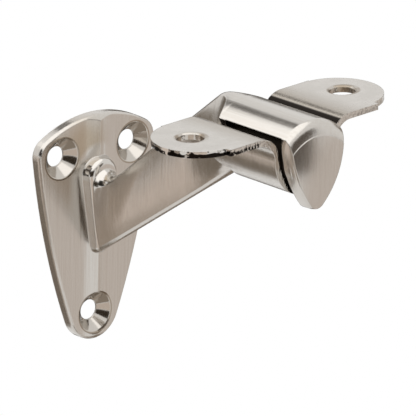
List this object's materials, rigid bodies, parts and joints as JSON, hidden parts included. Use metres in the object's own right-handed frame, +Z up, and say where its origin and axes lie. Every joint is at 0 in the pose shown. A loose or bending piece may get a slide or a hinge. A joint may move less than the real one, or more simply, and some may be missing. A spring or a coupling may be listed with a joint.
{
  "type": "handrail bracket",
  "caption": "Wall bracket for a wooden handrail: shield-shaped screw plate, upward arm and a grooved head on which a formed strap with two screw ears swings to suit the rail's pitch.",
  "frame": {"origin": "middle of the wall plate's back face, on the wall", "axes": "+Y into the wall, +X along the wall, +Z up, so the arm reaches out along -Y"},
  "size_m": [0.0666, 0.081, 0.0747],
  "materials": {
    "casting": "satin nickel, brushed upright",
    "strap": "satin nickel with brighter cut edges"
  },
  "bodies": {
    "casting": {"bracket_casting": "casting"},
    "strap": {"rail_strap": "strap"}
  },
  "joints": [
    {"name": "strap_swing", "type": "hinge", "parent": "casting", "child": "strap", "pos_m": [0, -0.067, 0.0365], "axis": [0, -1, 0], "range_deg": [-8.4, 2.6]}
  ]
}
